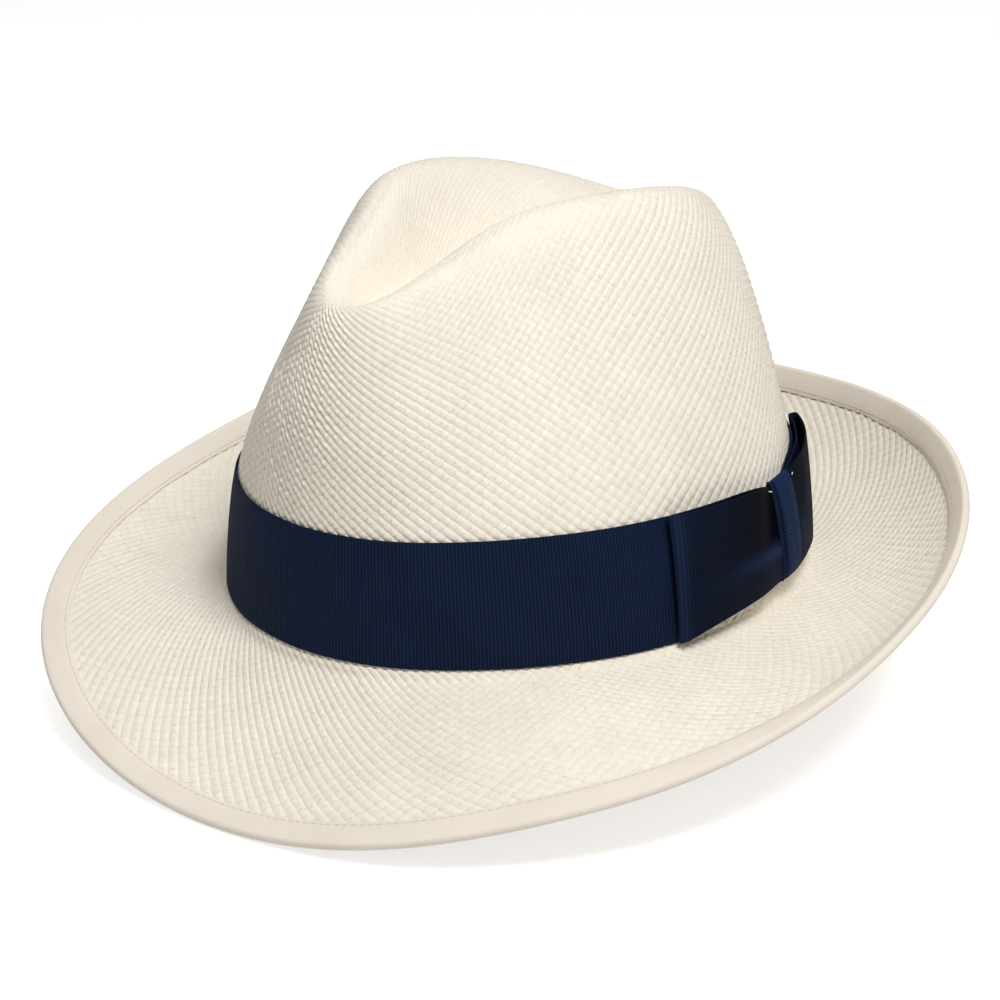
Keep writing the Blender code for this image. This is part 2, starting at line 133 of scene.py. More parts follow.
def wall(t, share):
    # ellipse rings that shrink from foot to crest: part of the lean is straight, the rest a rounded shoulder
    t, share = np.broadcast_arrays(t, share)
    kept = np.clip(share, 0, 1)
    swing = np.arcsin(kept ** (crown["roundPower"] / 2))
    lean = crown["sideLean"] + (crown["noseLean"] - crown["sideLean"]) * bell(t, 0, crown["leanSpread"])
    shoulder = 1 - np.cos(swing) ** (2 / crown["roundPower"])
    inward = lean * kept ** crown["leanPower"] + (1 - lean) * shoulder
    reach = np.where(np.cos(t) > 0, crown["noseReach"], crown["backReach"])
    x = baseSide + (crown["halfWidth"] - baseSide) * inward
    y = baseReach(t) + (reach - baseReach(t)) * inward
    flat = np.stack([x * np.sin(t), -y * np.cos(t)], -1)
    flat = flat * (1 - pinch(t, share) / np.linalg.norm(flat, axis=-1))[..., None]
    return np.concatenate([flat, (share * crestHeight(t))[..., None]], -1)


def dent(t, u):
    # straight in plan from the crest to the crease, dropping along a half cosine
    t, u = np.broadcast_arrays(t, u)
    crest = wall(t, np.ones_like(t))
    span = crease["back"] - crease["front"]
    y = (crease["back"] + crease["front"]) / 2 - span / 2 * np.cos(t)
    along = (y - crease["front"]) / span
    low = crease["height"] + crease["backRise"] * along ** crease["risePower"]
    floorLine = np.stack([0 * t, y, low], -1)
    dip = 0.5 - 0.5 * np.cos(np.pi * u ** crease["dipPower"])
    return crest + (floorLine - crest) * np.stack([u, u, dip], -1)


def crownFace(t, s):
    # whole outer face of the crown: the wall for s up to 1, the dent from 1 to the crease at 2
    swing = np.clip(s, 0, 1) * np.pi / 2
    up = wall(t, np.sin(swing) ** (2 / crown["roundPower"]))
    return np.where((s > 1)[..., None], dent(t, np.clip(s - 1, 0, None)), up)


def breakHeight(t):
    # height at which the wall starts to turn out into the brim
    return brim["breakRadius"] * (1 - np.sin(np.radians(around(t, brim["slopeAtWall"]))))


def brimFace(t, s):
    # top face of the brim: an arc whose slope runs evenly from the wall's to the edge's, after a small turn;
    # a distance below zero lies up the wall
    t, s = np.broadcast_arrays(t, s)
    risen = breakHeight(t) + np.clip(-s, 0, None)
    s = np.clip(s, 0, None)
    slope = np.radians(around(t, brim["slopeAtWall"]))
    bend = (np.radians(around(t, brim["slopeAtEdge"])) - slope) / brim["width"]
    steps = (np.arange(brim["bendSteps"]) + 0.5) / brim["bendSteps"]
    slopes = slope[..., None] + bend[..., None] * s[..., None] * steps
    turned = brim["breakRadius"] * (1 - np.exp(-s / brim["breakRadius"]))
    reach = np.cos(slopes).mean(-1) * s - turned * np.cos(slope)
    drop = np.sin(slopes).mean(-1) * s + turned * (1 - np.sin(slope))
    point = wall(t, risen / crestHeight(t)).copy()
    outward = unit(np.stack([baseReach(t) * np.sin(t), -baseSide * np.cos(t)], -1))
    point[..., :2] += outward * reach[..., None]
    point[..., 2] -= drop
    return point


def lifted(surface, t, v, out, stepV, stepT=1e-4):
    # point of a surface moved along its normal, which is the cross product of two short steps
    t, v, out = np.broadcast_arrays(t, v, out)
    along = surface(t + stepT, v) - surface(t - stepT, v)
    up = surface(t, v + stepV) - surface(t, v - stepV)
    return surface(t, v) + unit(np.cross(along, up)) * out[..., None]


def onCrown(t, s, out):
    # a distance out from the crown's whole face
    return lifted(crownFace, t, s, out, 1e-3)


def onWall(t, z, out):
    # a distance out from the wall at a height
    return lifted(lambda a, h: wall(a, h / crestHeight(a)), t, z, out, 0.1)


def onBrim(t, s, up):
    # a distance up from the brim's top face
    return lifted(brimFace, t, s, -np.asarray(up), 0.1)


# shared tools for colour, nodes and meshes
def linear(colour):
    # sRGB hex to the linear values that shaders take
    part = np.array([int(colour[k:k + 2], 16) for k in (1, 3, 5)]) / 255
    return (*np.where(part <= 0.04045, part / 12.92, ((part + 0.055) / 1.055) ** 2.4), 1.0)


def node(tree, kind, settings=None, values=None, links=None):
    # one node with its settings, fixed socket values and links
    made = tree.nodes.new("ShaderNode" + kind)
    for key, value in (settings or {}).items():
        setattr(made, key, value)
    for key, value in (values or {}).items():
        made.inputs[key].default_value = value
    for key, source in (links or {}).items():
        tree.links.new(source, made.inputs[key])
    return made


def remapped(tree, value, given, wanted, ease="LINEAR"):
    # a value carried from one range to another and held at its ends
    (low, high), (toLow, toHigh) = given, wanted
    return node(tree, "MapRange", {"interpolation_type": ease},
                {"From Min": low, "From Max": high, "To Min": toLow, "To Max": toHigh},
                {"Value": value}).outputs["Result"]


def newMaterial(name, shaderValues):
    # a Principled material with fixed values on its own sockets
    made = bpy.data.materials.new(name)
    made.use_nodes = True
    shader = made.node_tree.nodes["Principled BSDF"]
    for key, value in shaderValues.items():
        shader.inputs[key].default_value = value
    return made, made.node_tree, shader


def drifting(tree, scale, detail, colour, shade, given=(0.0, 1.0), wanted=(0.0, 1.0)):
    # two tones mixed by soft noise in the piece's own space; gives the colour and the noise
    spot = node(tree, "TexCoord")
    noise = node(tree, "TexNoise", values={"Scale": scale, "Detail": detail},
                 links={"Vector": spot.outputs["Object"]})
    mixed = node(tree, "Mix", {"data_type": "RGBA"}, {6: linear(colour), 7: linear(shade)},
                 {0: remapped(tree, noise.outputs["Fac"], given, wanted)})
    return mixed.outputs[2], noise.outputs["Fac"]


def dress(tree, shader, colour, height=None, strength=0.0, depth=0.0):
    # colour on the shader, and a bump from a height, its depth in millimetres
    tree.links.new(colour, shader.inputs["Base Color"])
    if height is not None:
        bump = node(tree, "Bump", values={"Strength": strength, "Distance": depth * mm},
                    links={"Height": height})
        tree.links.new(bump.outputs["Normal"], shader.inputs["Normal"])


def placed(name, data):
    # new object at the origin, linked into the scene
    made = bpy.data.objects.new(name, data)
    bpy.context.scene.collection.objects.link(made)
    return made


def bothSides(face, rear):
    # section of a sheet: along its face from one edge to the other and back along its reverse side
    return np.concatenate([face, rear[:, ::-1]], 1)[None]


def loft(name, points, material, stands, sharpFrom, closedRows=False, attributes=None, order=None):
    # closed tubes: points is (tubes, rows, sides, 3); rows join to rows, sides run round to the first side,
    # and open ends are filled by quads from one half of the profile to the other
    tubes, rows, sides = points.shape[:3]
    number = np.arange(tubes * rows * sides).reshape(tubes, rows, sides)
    low = number if closedRows else number[:, :-1]
    high = np.roll(number, -1, 1) if closedRows else number[:, 1:]
    quads = np.stack([low, np.roll(low, -1, 2), np.roll(high, -1, 2), high], -1).reshape(-1, 4)
    bands = low.shape[1]
    place = np.linspace(0, 1, bands + 1) if order is None else order
    tube, band, side = np.meshgrid(np.arange(tubes), np.arange(bands), np.arange(sides), indexing="ij")
    across = np.stack([side, side + 1, side + 1, side], -1) / sides
    along = np.stack([place[band], place[band], place[band + 1], place[band + 1]], -1)
    uv = np.stack([(tube[..., None] + across) / tubes, along], -1).reshape(-1, 2)
    if not closedRows:
        half = np.arange(sides // 2 - 1)
        for row, flip in ((0, True), (rows - 1, False)):
            ring = number[:, row]
            cap = np.stack([ring[:, half], ring[:, half + 1], ring[:, sides - 2 - half],
                            ring[:, sides - 1 - half]], -1).reshape(-1, 4)
            quads = np.concatenate([quads, cap[:, ::-1] if flip else cap])
            uv = np.concatenate([uv, np.zeros((cap.size, 2)) + (0, float(row > 0))])
    flat = points.reshape(-1, 3) * mm
    a, b, c, d = (flat[quads[:, k]] for k in range(4))
    volume = (a * np.cross(b, c)).sum() + (a * np.cross(c, d)).sum()
    if volume < 0:  # turn every face outwards
        quads = quads[:, ::-1]
        uv = uv.reshape(-1, 4, 2)[:, ::-1].reshape(-1, 2)
    mesh = bpy.data.meshes.new(name)
    mesh.vertices.add(len(flat))
    mesh.vertices.foreach_set("co", flat.ravel())
    mesh.loops.add(quads.size)
    mesh.loops.foreach_set("vertex_index", quads.ravel())
    mesh.polygons.add(len(quads))
    mesh.polygons.foreach_set("loop_start", np.arange(0, quads.size, 4))
    mesh.update(calc_edges=True)
    mesh.uv_layers.new(name="UVMap")
    mesh.uv_layers["UVMap"].uv.foreach_set("vector", uv.ravel())
    for key, value in (attributes or {}).items():
        mesh.attributes.new(key, "FLOAT", "POINT").data.foreach_set("value", value.ravel())
    mesh.shade_smooth()
    mesh.set_sharp_from_angle(angle=np.radians(sharpFrom))
    mesh.materials.append(material)
    piece = placed(name, mesh)
    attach(piece, "root")
    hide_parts(*stands)
    print("made", name, 2 * len(quads), "triangles")
    return piece


# straw: two families of strands that pass over and under each other; a lean is how far a strand goes round
# the hat for each step that it climbs, and counts and leans follow those seen on the crown and on the brim
weave = dict(crown=dict(falling=(148, 1.12), rising=(130, 1.30)),
             brim=dict(falling=(182, 1.25), rising=(178, 1.20)),
             width=1.04, widthSpread=0.025, widthSwing=0.02, wander=0.018, wanderStep=0.41, thick=0.80,
             lift=0.30, liftSharp=1.2, sway=0.03, swayStep=0.23, tone=0.09, toneSwing=0.05, edgeShade=0.5,
             proud=0.52, straighter=0.8, swapFrom=0.3, swapReach=0.35, swapLow=63.0, swapHigh=22.0,
             swapSpan=18.0, brimProud=0.9, bulge=0.9, bulgeAt=2.0, bulgeSpread=1.5, ironed=0.68,
             ironFrom=0.78, ironSooner=0.34, ironFull=1.04, crownStart=0.003, crownEnd=2.03, crownStops=900,
             brimStart=-2.2, brimEnd=61.8, brimStops=300, girthSteps=241, fine=3, seed=11)


def strawMaterial(name, strands, crossings):
    # Bleached palm straw, split, plaited by hand and ironed on a block: pale cream strands with a soft satin
    # side, each a slightly different tone, faint long fibres, and painted tan shade where one dives under
    # another.
    made, tree, shader = newMaterial(name, {"Roughness": 0.58, "IOR": 1.45, "Specular IOR Level": 0.35,
                                            "Sheen Weight": 0.05, "Sheen Roughness": 0.5})
    tint = node(tree, "Attribute", {"attribute_name": "tone"})
    lift = node(tree, "Attribute", {"attribute_name": "lift"})
    tones = node(tree, "ValToRGB", links={"Fac": tint.outputs["Fac"]})
    tones.color_ramp.elements[0].color = linear("#eee4d1")
    tones.color_ramp.elements[1].color = linear("#f7f1e5")
    tones.color_ramp.elements.new(0.5).color = linear("#f3ebdc")
    spot = node(tree, "TexCoord")
    # fibres are about 0.1 mm wide in life, drawn 0.5 mm wide and 6 mm long so that they show
    fibreMap = node(tree, "Mapping", values={"Scale": (strands * 10.0, crossings * 0.6, 1.0)},
                    links={"Vector": spot.outputs["UV"]})
    fibre = node(tree, "TexNoise", {"noise_dimensions": "2D"}, {"Scale": 1.0, "Detail": 2.0},
                 {"Vector": fibreMap.outputs["Vector"]})
    # the tone also drifts in patches about 22 mm wide
    patch = node(tree, "TexNoise", values={"Scale": 45.0, "Detail": 2.0},
                 links={"Vector": spot.outputs["Object"]})
    streak = remapped(tree, fibre.outputs["Fac"], (0.3, 0.7), (0.955, 1.03))
    cloud = remapped(tree, patch.outputs["Fac"], (0.3, 0.7), (0.97, 1.02))
    both = node(tree, "Math", {"operation": "MULTIPLY"}, links={0: streak, 1: cloud})
    toned = node(tree, "VectorMath", {"operation": "SCALE"},
                 links={0: tones.outputs["Color"], "Scale": both.outputs[0]})
    # painted shade: the strand turns tan where its shade mark falls, where it dives and towards its edges
    deep = remapped(tree, lift.outputs["Fac"], (0.25, -1.15), (0.0, 0.75), "SMOOTHSTEP")
    shaded = node(tree, "Mix", {"data_type": "RGBA"}, {7: linear("#b09268")},
                  {0: deep, 6: toned.outputs[0]})
    dress(tree, shader, shaded.outputs[2], fibre.outputs["Fac"], strength=0.25, depth=0.12)
    return made


def climbShare(surface, stops):
    # running sum of the mean step between rows over the girth there
    t = np.linspace(0, turn, weave["girthSteps"])
    rows = surface(t[None] + 0 * stops[:, None], stops[:, None] + 0 * t[None])
    girth = np.linalg.norm(np.diff(rows, axis=1), axis=-1).sum(1)
    climb = np.linalg.norm(np.diff(rows, axis=0), axis=-1).mean(1)
    return np.concatenate([[0], np.cumsum(climb * 2 / (girth[1:] + girth[:-1]))])


def strandPoints(face, stops, climb, own, other, way, over, rows, seed, proudAt, levelAt, pressAt):
    # A strand's angle is its number over its family's count, plus its lean times the share of the girth
    # climbed. The other family's numbers then go by evenly along it, one to each row, and its height swings
    # from over to under between one and the next. Its section is a lens, set along the other family's
    # strands. One family stands proud, round and hardly bent, and the other is ironed flat over it. The mark
    # for painted shade falls where a strand dives and towards its edges.
    rng = np.random.default_rng(seed)
    (count, lean), (crossed, otherLean) = own, other
    both = lean + otherLean
    number = np.arange(count)[:, None, None]
    row = rows[None, :, None]
    side = np.array([-0.5, 0.0, 0.5, 0.0])[None, None]
    body = np.array([0.0, 0.5, 0.0, -0.5])[None, None]
    phase = rng.uniform(0, turn, (count, 1, 2))
    swing = np.sin(row * weave["wanderStep"] + phase).sum(-1, keepdims=True)
    ownWidth = weave["widthSpread"] * rng.standard_normal((count, 1, 1))
    broad = weave["width"] * (1 + ownWidth + weave["widthSwing"] * swing)
    x = side * broad + weave["wander"] * swing
    start = crossed * (number + 0.5) / count - 0.5
    first = np.ceil(start) if way > 0 else np.floor(start)
    passed = np.abs(first - start) + row
    climbed = passed / (crossed * both) - way * x / (count * both)
    v = np.interp(climbed, climb, stops)
    t = turn * ((number + 0.5 + otherLean / both * x) / count + way * lean / both * passed / crossed)
    wave = over * (1 - 2 * np.mod(number + first, 2)) * np.cos(np.pi * row)
    lift = np.tanh(weave["liftSharp"] * wave) / np.tanh(weave["liftSharp"])
    level = weave["sway"] * np.sin(row * weave["swayStep"] + phase[..., :1] * 2) + levelAt(v)
    proud = weave["proud"] * over * proudAt(t, v)
    bent = weave["lift"] * (1 - weave["straighter"] * proud) * lift
    relief = bent + weave["thick"] * (1 + proud) * body
    press = pressAt(t, v)
    out = relief * press + level - layers["straw"] / 2
    ownTone = weave["tone"] * rng.standard_normal((count, 1, 1))
    tone = np.clip(0.5 + ownTone + weave["toneSwing"] * swing, 0, 1) + 0 * x
    # the painted shade mark: 1 on a strand's top, falling where it dives and towards its edges
    shade = 1 - (1 + weave["edgeShade"] * np.abs(side) - lift) * press
    return face(t, v, out), dict(tone=tone, lift=shade)


def swapped(t, s):
    # the crown's falling strands stand proud at the front and its rising ones from there round, on a tanh
    # curve over the angle; up in the pinches they swap sooner
    ease = eased((s - weave["swapFrom"]) / weave["swapReach"])
    place = weave["swapLow"] + (weave["swapHigh"] - weave["swapLow"]) * ease
    return np.tanh((place - np.degrees(np.abs(wrapped(t)))) / weave["swapSpan"])


def ironed(t, s):
    # full relief low on the wall, easing off over the crest to what the iron leaves in the dent; the easing
    # starts lower on the pinched sides than at the front and back
    start = weave["ironFrom"] - weave["ironSooner"] * np.abs(np.sin(2 * t))
    return 1 - weave["ironed"] * eased((s - start) / (weave["ironFull"] - start))


def brimProud(t, s):
    # the brim's falling strands stand proud at the front, less and less towards the back
    return weave["brimProud"] * (0.5 + 0.5 * np.cos(t))


def brimBulge(s):
    # a bell across the brim, close to the ribbon
    return weave["bulge"] * hump(s, weave["bulgeAt"], weave["bulgeSpread"])


def makeStraw():
    # a family's strands are cut into areas of equal length, so that no mesh grows too big
    low = 2 / np.pi * np.arcsin(weave["crownStart"] ** (crown["roundPower"] / 2))
    crownStops = np.linspace(low, weave["crownEnd"], weave["crownStops"])
    brimStops = np.linspace(weave["brimStart"], weave["brimEnd"], weave["brimStops"])
    parts = (("crown", ("crown_wall", "crown_shoulder", "crown_top"), crownFace, onCrown, crownStops, -1,
              swapped, np.zeros_like, ironed),
             ("brim", ("brim",), brimFace, onBrim, brimStops, 1,
              brimProud, brimBulge, lambda t, s: 1.0))
    for part, areas, surface, face, stops, hand, proudAt, levelAt, pressAt in parts:
        climb = climbShare(surface, stops)
        for name, against, over in (("falling", "rising", 1), ("rising", "falling", -1)):
            own, other = weave[part][name], weave[part][against]
            perGirth = other[0] * (own[1] + other[1])
            top = int(climb[-1] * perGirth) - 1
            material = strawMaterial(f"bleachedStraw_{part}_{name}", own[0], top)
            for place, area in enumerate(areas):
                begin = top * place // len(areas) * weave["fine"]
                end = top * (place + 1) // len(areas) * weave["fine"]
                rows = np.arange(begin, end + 1) / weave["fine"]
                points, marks = strandPoints(face, stops, climb, own, other, hand * over, over, rows,
                                             weave["seed"] + over, proudAt, levelAt, pressAt)
                # each strand carries its own tone and its painted shade mark
                loft(f"{area}_{name}_strands", points, material, ["straw_body"], sharpFrom=60,
                     attributes=marks, order=rows / top)


makeStraw()

waveLength = 0.314  # metres from band to band of a wave texture at scale 1


def tapeMaterial(name, colour, shade, threadSize, direction):
    # Bias-cut cotton tape, pressed flat: matte and close woven, its tone drifting a little.
    made, tree, shader = newMaterial(name, {"Roughness": 0.8, "IOR": 1.46, "Specular IOR Level": 0.25,
                                            "Sheen Weight": 0.08, "Sheen Roughness": 0.4})
    spot = node(tree, "TexCoord")
    turned = node(tree, "Mapping", values={"Rotation": direction}, links={"Vector": spot.outputs["Object"]})
    # threads are 0.25 mm apart in life, drawn at threadSize so that they show
    warp, weft = (node(tree, "TexWave", {"bands_direction": way},
                       {"Scale": waveLength / (threadSize * mm), "Distortion": 0.6},
                       {"Vector": turned.outputs["Vector"]}) for way in "XY")
    threads = node(tree, "Math", {"operation": "MULTIPLY"},
                   links={0: warp.outputs["Fac"], 1: weft.outputs["Fac"]})
    # the drifts of tone are about 17 mm wide
    mixed = drifting(tree, 60.0, 3.0, colour, shade, (0.25, 0.75), (0.0, 0.7))[0]
    dress(tree, shader, mixed, threads.outputs[0], strength=0.18, depth=0.1)
    return made


def threadMaterial(name, colour, shade):
    # Spun cotton sewing thread: matte, twisted from plies, so its tone swings about once a millimetre.
    made, tree, shader = newMaterial(name, {"Roughness": 0.75, "IOR": 1.46, "Specular IOR Level": 0.3,
                                            "Sheen Weight": 0.1})
    dress(tree, shader, drifting(tree, 900.0, 1.0, colour, shade)[0])
    return made


def circle(count):
    # even angles once round
    return np.arange(count) / count * turn


def stitchPoints(path, count, share, base, radius, sides=6, rows=5, arch=1.6, sink=1.2):
    # short tubes along a closed path, each arched as a cosine so that both of its ends sink into the cloth
    stepT, stepOut = 1e-3, 0.05
    middle = circle(count)[:, None]
    f = np.linspace(-0.5, 0.5, rows)[None]
    t = middle + f * share * turn / count
    out = base + radius * (arch * np.cos(np.pi * f) - sink)
    centre = path(t, out)
    along = unit(path(t + stepT, out) - path(t - stepT, out))
    up = unit(path(t, out + stepOut) - path(t, out - stepOut))
    a = circle(sides)[None, None, :, None]
    across = np.cross(along, up)[:, :, None]
    return centre[:, :, None] + radius * (np.cos(a) * across + np.sin(a) * up[:, :, None])


# binding: cream tape folded over the brim's edge, sewn near its inner edge
binding = dict(width=8.0, faceRows=9, foldRows=7, foldRound=0.8, ringSteps=1400, swell=0.18, wander=0.168,
               wanderReach=1.2, drawn=1.4, drawnAll=0.25, drawnOuter=0.3, seamInset=1.3, seamWidth=0.7,
               pucker=0.08, puckerEven=0.6, stitchCount=350, stitchShare=0.94, stitchUp=0.03, thread=0.15)


def makeBinding():
    # the fold's section carried round the brim's edge: it swells on both faces, puckers between stitches and
    # is drawn down at its sewn edge, which wanders as a product of sines
    tape = tapeMaterial("creamCottonTape", "#efe6d9", "#e6dbcb", threadSize=0.6, direction=(0.3, 0.2, 0.785))
    thread = threadMaterial("fawnCottonThread", "#e2d6c3", "#d6c8b0")
    deep, w = layers["straw"], brim["width"]
    start = w - binding["width"]
    t = circle(binding["ringSteps"])[:, None]
    flat = start + np.linspace(0, 1, binding["faceRows"]) * (w - start)
    arc = np.linspace(0.5, -0.5, binding["foldRows"])[1:-1] * np.pi

    def foldLine(off):
        # along the top, round the edge and back underneath, at a distance off the straw
        half = deep / 2 + off
        reach = np.concatenate([flat, w + half * binding["foldRound"] * np.cos(arc), flat[::-1]])
        rise = np.concatenate([0 * flat + off, -deep / 2 + half * np.sin(arc), 0 * flat - deep - off])
        return reach, rise

    off = layers["gap"] + layers["tape"]
    outerS, outerUp = foldLine(off)
    innerS, innerUp = foldLine(layers["gap"])
    lineS = np.concatenate([outerS, innerS[::-1]])[None]
    lineUp = np.concatenate([outerUp, innerUp[::-1]])[None]
    face = np.sign(lineUp + deep / 2)
    outer = np.concatenate([np.ones_like(outerS), np.zeros_like(innerS)])[None]
    inset = np.clip(lineS - start, 0, None)
    swell = binding["swell"] * np.sin(np.pi * np.clip(inset / binding["width"], 0, 1))
    seam = hump(inset, binding["seamInset"], binding["seamWidth"])
    hole = 0.5 + 0.5 * np.cos(t * binding["stitchCount"] + np.pi)
    up = lineUp + outer * face * (swell - binding["pucker"] * seam * (binding["puckerEven"] + hole))
    up -= face * (binding["drawnAll"] + binding["drawnOuter"] * outer) * np.exp(-inset / binding["drawn"])
    wave = np.sin(7 * t + 1) * np.sin(23 * t + inset) + 0.5 * np.sin(41 * t + 2)
    edge = binding["wander"] * wave * np.exp(-inset / binding["wanderReach"])
    points = onBrim(t, lineS + edge, up)[None]
    piece = loft("bound_edge_tape", points, tape, ["brim_binding"], closedRows=True,
                 sharpFrom=70)
    seamAt = start + binding["seamInset"]
    sunk = (binding["drawnAll"] + binding["drawnOuter"]) * np.exp(-binding["seamInset"] / binding["drawn"])
    base = off + binding["stitchUp"] - sunk
    for name, stands, path in (
            ("edge_stitches_top", "binding_thread_top", lambda a, o: onBrim(a, seamAt, o)),
            ("edge_stitches_under", "binding_thread_under", lambda a, o: onBrim(a, seamAt, -deep - o))):
        points = stitchPoints(path, binding["stitchCount"], binding["stitchShare"], base, binding["thread"])
        loft(name, points, thread, [stands], sharpFrom=80)
    return tape, thread


tape, thread = makeBinding()

# ribbon: navy grosgrain, ribbed across its width; lit is the colour of its painted highlight
grosgrain = dict(rib=1.1, ribHeight=0.075, ribRound=0.8, samples=6, selvedge=0.35, colour="#111b30",
                 shade="#0d1424", lit="#22355a", edgeRows=(0.012, 0.06))


def ribbonMaterial():
    # Woven viscose and cotton grosgrain: stout cross ribs with a painted highlight on their tops. Painted
    # highlight lies on the bow's folds and ridges, and painted shade keeps the bow's deep hollows nearly
    # black.
    made, tree, shader = newMaterial("navyGrosgrain", {"Roughness": 0.62, "IOR": 1.5,
                                                       "Specular IOR Level": 0.045})
    spot = node(tree, "TexCoord")
    rib = node(tree, "Attribute", {"attribute_name": "rib"})
    # painted light: above zero a painted highlight, below zero painted shade
    paintedLight = node(tree, "Attribute", {"attribute_name": "paintedLight"})
    # the dye drifts in patches about 14 mm wide
    mixed = drifting(tree, 70.0, 3.0, grosgrain["colour"], grosgrain["shade"], (0.2, 0.8))[0]
    # warp threads are 0.15 mm apart in life, drawn about 0.5 mm apart so that they show
    fine = node(tree, "TexNoise", values={"Scale": 2000.0, "Detail": 1.0},
                links={"Vector": spot.outputs["Object"]})
    # painted highlight: the rib tops are mixed towards the lit colour
    crest = remapped(tree, rib.outputs["Fac"], (0.2, 1.0), (0.0, 0.45))
    topped = node(tree, "Mix", {"data_type": "RGBA"}, {7: linear(grosgrain["lit"])}, {0: crest, 6: mixed})
    # painted highlight on the bow's folds and ridges
    paintedHighlightShare = remapped(tree, paintedLight.outputs["Fac"], (0.0, 1.0), (0.0, 0.8))
    paintedHighlight = node(tree, "Mix", {"data_type": "RGBA"}, {7: linear(grosgrain["lit"])},
                  {0: paintedHighlightShare, 6: topped.outputs[2]})
    # painted shade: the colour is darkened where the painted light falls below zero
    paintedShade = remapped(tree, paintedLight.outputs["Fac"], (0.0, -1.0), (1.0, 0.15))
    toned = node(tree, "VectorMath", {"operation": "SCALE"}, links={0: paintedHighlight.outputs[2], "Scale": paintedShade})
    dress(tree, shader, toned.outputs[0], fine.outputs["Fac"], strength=0.2, depth=0.08)
    return made


navy = ribbonMaterial()

# bow: two flat loops and the knot wrapped round them, over the band, with where its painted highlight and
# painted shade lie and how strong they are
bow = dict(knotWidth=16.0, frontLength=54.0, rearLength=60.0, frontPuff=2.2, rearPuff=0.5, puffPower=0.45,
           foot=6.0, footPower=3.2, top=3.0, topReach=10.0, foldRadius=0.8, rows=41, selvedgeThin=0.55,
           pleatAt=0.44, pleatSharp=0.06, pleatLift=1.7, pleatSink=1.0, pleatReach=9.0, pleatStart=2.0,
           flare=1.6, flareFoot=0.4, flareReach=12.0, hollowReach=23.0, ridgeBelow=0.09, ridgeSpread=0.08,
           ridgeHighlight=0.75, foldSpread=2.5, foldHighlight=0.28, paintedShade=0.25, softRib=0.4)

# distances out from the crown's wall at which the bow's layers lie
bandOut = layers["gap"] + layers["ribbon"]
knotBack = bandOut + layers["gap"]
loopBack = knotBack + layers["ribbon"] + layers["gap"]
loopFront = loopBack + layers["ribbon"] + layers["gap"]
knotFront = loopFront + layers["ribbon"] + layers["gap"]


def ribbonHeight(t, share):
    # height of a share of the ribbon's width, whose lower edge stands just over the brim's break
    return breakHeight(t) + layers["gap"] + ribbon["width"] * share


def gathered(along, share, length, foot, top):
    # a ribbon under the bow is drawn in: its foot rises along most of a loop, its top dips close by the knot
    past = np.abs(along)
    rise = foot * (1 - np.clip(past / length, 0, 1) ** bow["footPower"])
    dip = top * np.exp(-np.clip(past - bow["knotWidth"] / 2, 0, None) / bow["topReach"])
    return (rise + share * (ribbon["width"] - rise - dip)) / ribbon["width"]


def bowTurn():
    # angle that one millimetre along the ribbon takes up at the bow
    small = 1e-4
    at = np.radians(ribbon["bowAngle"])
    middle = ribbonHeight(at, 0.5)
    return small / np.linalg.norm(onWall(at + small, middle, bandOut) - onWall(at, middle, bandOut))


bowStep = bowTurn()


def bowPoint(along, share, out):
    # a distance along the ribbon from the bow's middle, as an angle on the wall
    t = np.radians(ribbon["bowAngle"]) + along * bowStep
    return onWall(t, ribbonHeight(t, share), out)


def slimmed(share, thinnest):
    # part of its thickness that a ribbon keeps: all of it but on the rows at its two selvedges
    edge = np.minimum(share, 1 - share) * ribbon["width"]
    return np.where(edge < grosgrain["selvedge"], thinnest, 1.0)


def clothPoints(place, along, share, out, half, rib):
    # closed section round a ribbon: its face from one selvedge to the other and back along its reverse side,
    # each pushed out by the ribs, with thinner selvedges; place(along, share, out) sets it in the hat
    stepAlong = np.gradient(along, axis=0)
    stepOut = np.gradient(out, axis=0)
    size = np.maximum(np.hypot(stepAlong, stepOut), 1e-9)
    reach = half * slimmed(share, bow["selvedgeThin"]) + rib
    face = place(along - reach * stepOut / size, share, out + reach * stepAlong / size)
    rear = place(along + reach * stepOut / size, share, out - reach * stepAlong / size)
    return bothSides(face, rear)


def ribLine(length):
    # even samples along a ribbon and the height of its ribs there, a cosine with narrow grooves
    ribs = max(int(round(length / grosgrain["rib"])), 1)
    q = np.linspace(0, 1, ribs * grosgrain["samples"] + 1)
    wave = np.abs(np.cos(np.pi * ribs * q)) ** grosgrain["ribRound"] * 2 - 1
    return q * length, wave


def edgedRows(low, high, close, first, rows):
    # even rows across a sheet, with one more close to each edge
    inner = np.linspace(low + first, high - first, rows)
    return np.concatenate([[low, low + close], inner, [high - close, high]])[None]


# band: the ribbon once round the crown's foot, its ends meeting under the bow
band = dict(steps=721, rows=7, footExtra=0.5, topExtra=0.3, lower=0.3, selvedgeThin=0.6, slackIn=0.1)


